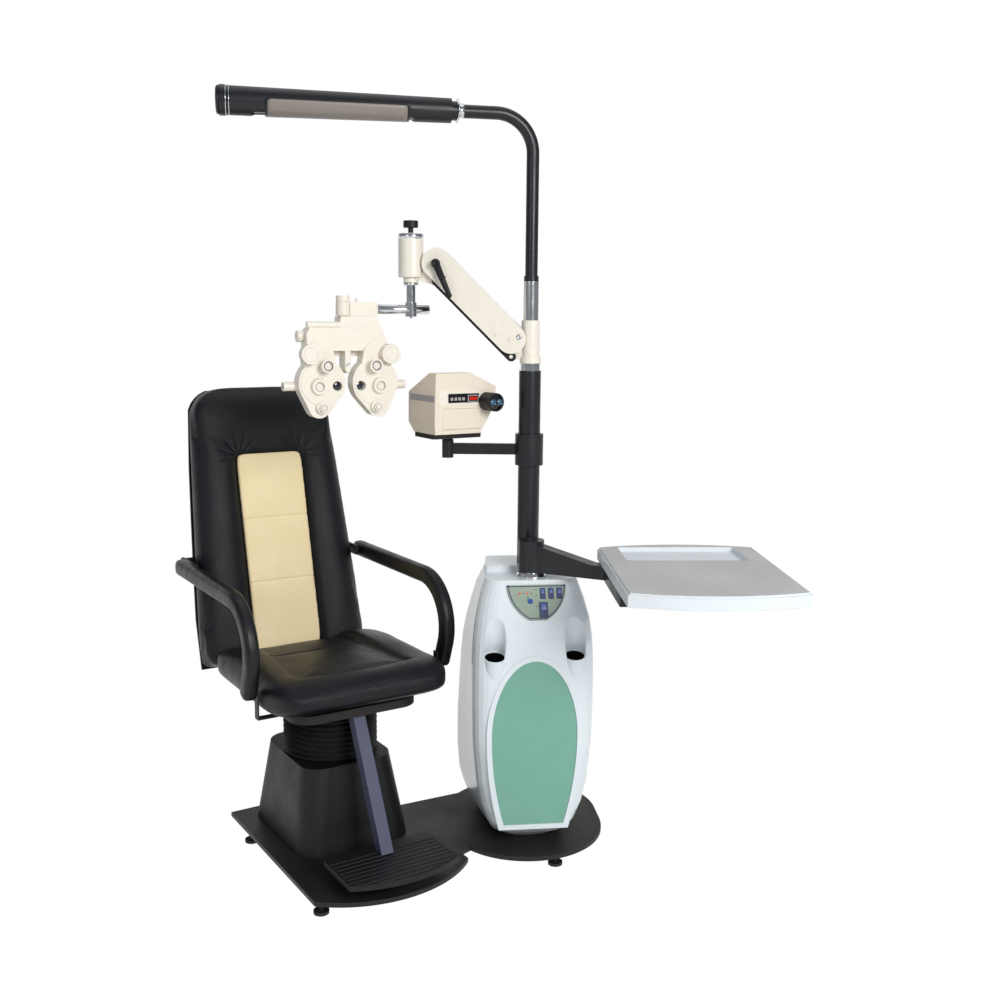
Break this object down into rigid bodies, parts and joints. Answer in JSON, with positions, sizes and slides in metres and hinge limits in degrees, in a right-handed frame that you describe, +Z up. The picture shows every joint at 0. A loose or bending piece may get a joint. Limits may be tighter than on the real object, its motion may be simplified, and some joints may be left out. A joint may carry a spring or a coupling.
{
  "type": "ophthalmic refraction unit with patient chair",
  "caption": "Ophthalmic examination chair and instrument stand: lifting chair, console, swing table, counterbalanced refractor arm, projector and reading lamp.",
  "frame": {"origin": "middle of the footprint of the whole unit, at floor level", "axes": "+Z up along the column; +X to the table side; -Y towards the console front and the examiner"},
  "size_m": [1.6038, 1.2814, 2.0504],
  "materials": {
    "satin_black": "satin black enamel",
    "black_plastic": "satin moulded plastic",
    "black_rubber": "matt rubber",
    "steel": "machined",
    "chrome": "polished",
    "charcoal_paint": "semi-gloss enamel",
    "blue_grey_paint": "semi-gloss enamel",
    "black_leather": "grained, soft sheen",
    "beige_leather": "grained, soft sheen",
    "pearl_white": "glossy moulding",
    "green_panel": "finely textured",
    "sage_plate": "satin film",
    "navy_key": "satin key cap",
    "blue_button": "glossy",
    "ivory_enamel": "glossy enamel",
    "beige_plastic": "satin moulding",
    "table_laminate": "fine speckle",
    "opal_plastic": "opal diffuser",
    "white_glass": "coated tube",
    "lens_black": "gloss black barrel"
  },
  "bodies": {
    "unit": {"base_plate": "satin_black", "levelling_feet": "black_rubber", "pedestal_cover": "black_plastic", "lift_tube": "steel", "lift_motor": "charcoal_paint", "console_shell": "pearl_white", "front_panel": "green_panel", "control_panel": "sage_plate", "well_left": "pearl_white", "well_right": "pearl_white", "table_pivot": "chrome", "main_column": "charcoal_paint", "pole_socket": "chrome"},
    "lift": {"lift_ram": "chrome", "bellows": "black_rubber"},
    "chair": {"seat_frame": "satin_black", "seat_cushion": "black_leather", "backrest_shell": "black_plastic", "backrest_cushion": "black_leather", "backrest_inset": "beige_leather", "armrest_left": "black_plastic", "armrest_right": "black_plastic", "footrest_bar": "blue_grey_paint", "footrest_plate": "black_plastic"},
    "table": {"table_arm": "satin_black", "table_top": "table_laminate"},
    "lamp": {"lamp_pole": "charcoal_paint", "lamp_housing": "charcoal_paint", "lamp_diffuser": "opal_plastic", "lamp_tube": "white_glass"},
    "swing": {"arm_sleeve": "ivory_enamel"},
    "arm": {"arm_cover": "ivory_enamel"},
    "link": {"arm_link": "satin_black"},
    "head": {"head_block": "ivory_enamel"},
    "lever": {"clamp_lever": "black_plastic"},
    "knob": {"height_knob": "black_plastic"},
    "rod": {"drop_rod": "chrome"},
    "bar": {"cross_bar": "chrome"},
    "refractor": {"refractor_mount": "ivory_enamel", "refractor_frame": "ivory_enamel"},
    "pd_wheel": {"pd_knob": "ivory_enamel"},
    "left_battery": {"battery_left": "ivory_enamel"},
    "right_battery": {"battery_right": "ivory_enamel"},
    "bracket": {"projector_bracket": "charcoal_paint"},
    "projector": {"projector_tray": "satin_black", "projector_body": "beige_plastic", "projector_lens": "lens_black"},
    "sphere_dial_left_body": {"sphere_dial_left": "ivory_enamel"},
    "aux_dial_left_body": {"aux_dial_left": "ivory_enamel"},
    "cylinder_knob_left_body": {"cylinder_knob_left": "ivory_enamel"},
    "cross_lens_left_body": {"cross_lens_left": "ivory_enamel"},
    "sphere_dial_right_body": {"sphere_dial_right": "ivory_enamel"},
    "aux_dial_right_body": {"aux_dial_right": "ivory_enamel"},
    "cylinder_knob_right_body": {"cylinder_knob_right": "ivory_enamel"},
    "cross_lens_right_body": {"cross_lens_right": "ivory_enamel"},
    "key_left_body": {"key_left": "navy_key"},
    "key_middle_body": {"key_middle": "navy_key"},
    "key_right_body": {"key_right": "navy_key"},
    "key_large_body": {"key_large": "navy_key"},
    "round_button_body": {"round_button": "blue_button"}
  },
  "joints": [
    {"name": "chair_lift", "type": "slide", "parent": "unit", "child": "lift", "axis": [0, 0, 1], "range_m": [-0.025, 0.15], "deforming": ["bellows"]},
    {"name": "chair_swivel", "type": "hinge", "parent": "lift", "child": "chair", "pos_m": [-0.346, 0.064, 0.425], "axis": [0, 0, 1], "range_deg": [-45, 10]},
    {"name": "table_swing", "type": "hinge", "parent": "unit", "child": "table", "pos_m": [0.207, -0.027, 0.85], "axis": [0, 0, 1], "range_deg": [-25, 45]},
    {"name": "lamp_swing", "type": "hinge", "parent": "unit", "child": "lamp", "pos_m": [0.21, 0.062, 1.58], "axis": [0, 0, 1], "range_deg": [-60, 60]},
    {"name": "arm_swing", "type": "hinge", "parent": "unit", "child": "swing", "pos_m": [0.21, 0.062, 1.427], "axis": [0, 0, 1], "range_deg": [-15, 70]},
    {"name": "arm_tilt", "type": "hinge", "parent": "swing", "child": "arm", "pos_m": [0.15864, 0.07014, 1.426], "axis": [0.1564, 0.9877, 0], "range_deg": [-40, 8]},
    {"name": "link_tilt", "type": "hinge", "parent": "swing", "child": "link", "pos_m": [0.15864, 0.07014, 1.378], "axis": [0.1564, 0.9877, 0], "range_deg": [-40, 8]},
    {"name": "head_level", "type": "hinge", "parent": "arm", "child": "head", "pos_m": [-0.04179, 0.10188, 1.62611], "axis": [0.1564, 0.9877, 0], "range_deg": [-8, 40]},
    {"name": "lever_turn", "type": "hinge", "parent": "arm", "child": "lever", "pos_m": [-0.04179, 0.10188, 1.62611], "axis": [-0.1564, -0.9877, 0], "range_deg": [-30, 30]},
    {"name": "knob_turn", "type": "hinge", "parent": "head", "child": "knob", "pos_m": [-0.1129, 0.11314, 1.71611], "axis": [0, 0, 1], "range_deg": [-180, 180]},
    {"name": "rod_turn", "type": "hinge", "parent": "head", "child": "rod", "pos_m": [-0.1129, 0.11314, 1.62611], "axis": [0, 0, 1], "range_deg": [-30, 20]},
    {"name": "bar_slide", "type": "slide", "parent": "rod", "child": "bar", "axis": [-0.9336, -0.3584, 0], "range_m": [-0.02, 0.02]},
    {"name": "refractor_turn", "type": "hinge", "parent": "bar", "child": "refractor", "pos_m": [-0.29588, 0.0429, 1.5], "axis": [0, 0, 1], "range_deg": [-20, 20]},
    {"name": "battery_right_slide", "type": "slide", "parent": "refractor", "child": "right_battery", "axis": [0.9336, 0.3584, 0], "range_m": [-0.008, 0.0045]},
    {"name": "battery_left_slide", "type": "slide", "parent": "refractor", "child": "left_battery", "axis": [-0.9336, -0.3584, 0], "range_m": [-0.008, 0.0045]},
    {"name": "pd_knob_turn", "type": "hinge", "parent": "refractor", "child": "pd_wheel", "pos_m": [-0.38924, 0.00707, 1.4302], "axis": [0.9336, 0.3584, 0], "range_deg": [-229.5, 129.2]},
    {"name": "sphere_dial_left_turn", "type": "hinge", "parent": "left_battery", "child": "sphere_dial_left_body", "pos_m": [-0.38338, -0.03889, 1.385], "axis": [0.3584, -0.9336, 0], "continuous": true},
    {"name": "aux_dial_left_turn", "type": "hinge", "parent": "left_battery", "child": "aux_dial_left_body", "pos_m": [-0.35911, -0.02957, 1.301], "axis": [0.3584, -0.9336, 0], "continuous": true},
    {"name": "cylinder_knob_left_turn", "type": "hinge", "parent": "left_battery", "child": "cylinder_knob_left_body", "pos_m": [-0.35071, -0.02634, 1.246], "axis": [0.3584, -0.9336, 0], "continuous": true},
    {"name": "cross_lens_left_turn", "type": "hinge", "parent": "left_battery", "child": "cross_lens_left_body", "pos_m": [-0.34231, -0.02312, 1.355], "axis": [0.3584, -0.9336, 0], "continuous": true},
    {"name": "sphere_dial_right_turn", "type": "hinge", "parent": "right_battery", "child": "sphere_dial_right_body", "pos_m": [-0.17613, 0.04067, 1.385], "axis": [0.3584, -0.9336, 0], "continuous": true},
    {"name": "aux_dial_right_turn", "type": "hinge", "parent": "right_battery", "child": "aux_dial_right_body", "pos_m": [-0.2004, 0.03135, 1.301], "axis": [0.3584, -0.9336, 0], "continuous": true},
    {"name": "cylinder_knob_right_turn", "type": "hinge", "parent": "right_battery", "child": "cylinder_knob_right_body", "pos_m": [-0.2088, 0.02813, 1.246], "axis": [0.3584, -0.9336, 0], "continuous": true},
    {"name": "cross_lens_right_turn", "type": "hinge", "parent": "right_battery", "child": "cross_lens_right_body", "pos_m": [-0.21721, 0.0249, 1.355], "axis": [0.3584, -0.9336, 0], "continuous": true},
    {"name": "bracket_swing", "type": "hinge", "parent": "unit", "child": "bracket", "pos_m": [0.21, 0.062, 1.131], "axis": [0, 0, 1], "range_deg": [-45, 5]},
    {"name": "projector_turn", "type": "hinge", "parent": "bracket", "child": "projector", "pos_m": [-0.01332, 0.08942, 1.124], "axis": [0, 0, 1], "range_deg": [-20, 20]},
    {"name": "key_left_press", "type": "slide", "parent": "unit", "child": "key_left_body", "axis": [0, 0.865, -0.5018], "range_m": [0, 0.002], "stiffness_N_per_m": 300, "springref_m": -0.0006},
    {"name": "key_middle_press", "type": "slide", "parent": "unit", "child": "key_middle_body", "axis": [0, 0.865, -0.5018], "range_m": [0, 0.002], "stiffness_N_per_m": 300, "springref_m": -0.0006},
    {"name": "key_right_press", "type": "slide", "parent": "unit", "child": "key_right_body", "axis": [0, 0.865, -0.5018], "range_m": [0, 0.002], "stiffness_N_per_m": 300, "springref_m": -0.0006},
    {"name": "key_large_press", "type": "slide", "parent": "unit", "child": "key_large_body", "axis": [0, 0.865, -0.5018], "range_m": [0, 0.002], "stiffness_N_per_m": 300, "springref_m": -0.0006},
    {"name": "round_button_press", "type": "slide", "parent": "unit", "child": "round_button_body", "axis": [0, 0.865, -0.5018], "range_m": [0, 0.002], "stiffness_N_per_m": 300, "springref_m": -0.0006}
  ],
  "couplings": [
    {"joint": "link_tilt", "follows": "arm_tilt", "ratio": 1},
    {"joint": "head_level", "follows": "arm_tilt", "ratio": -1},
    {"joint": "battery_left_slide", "follows": "battery_right_slide", "ratio": 1},
    {"joint": "pd_knob_turn", "follows": "battery_right_slide", "rad_per_m": 500}
  ]
}
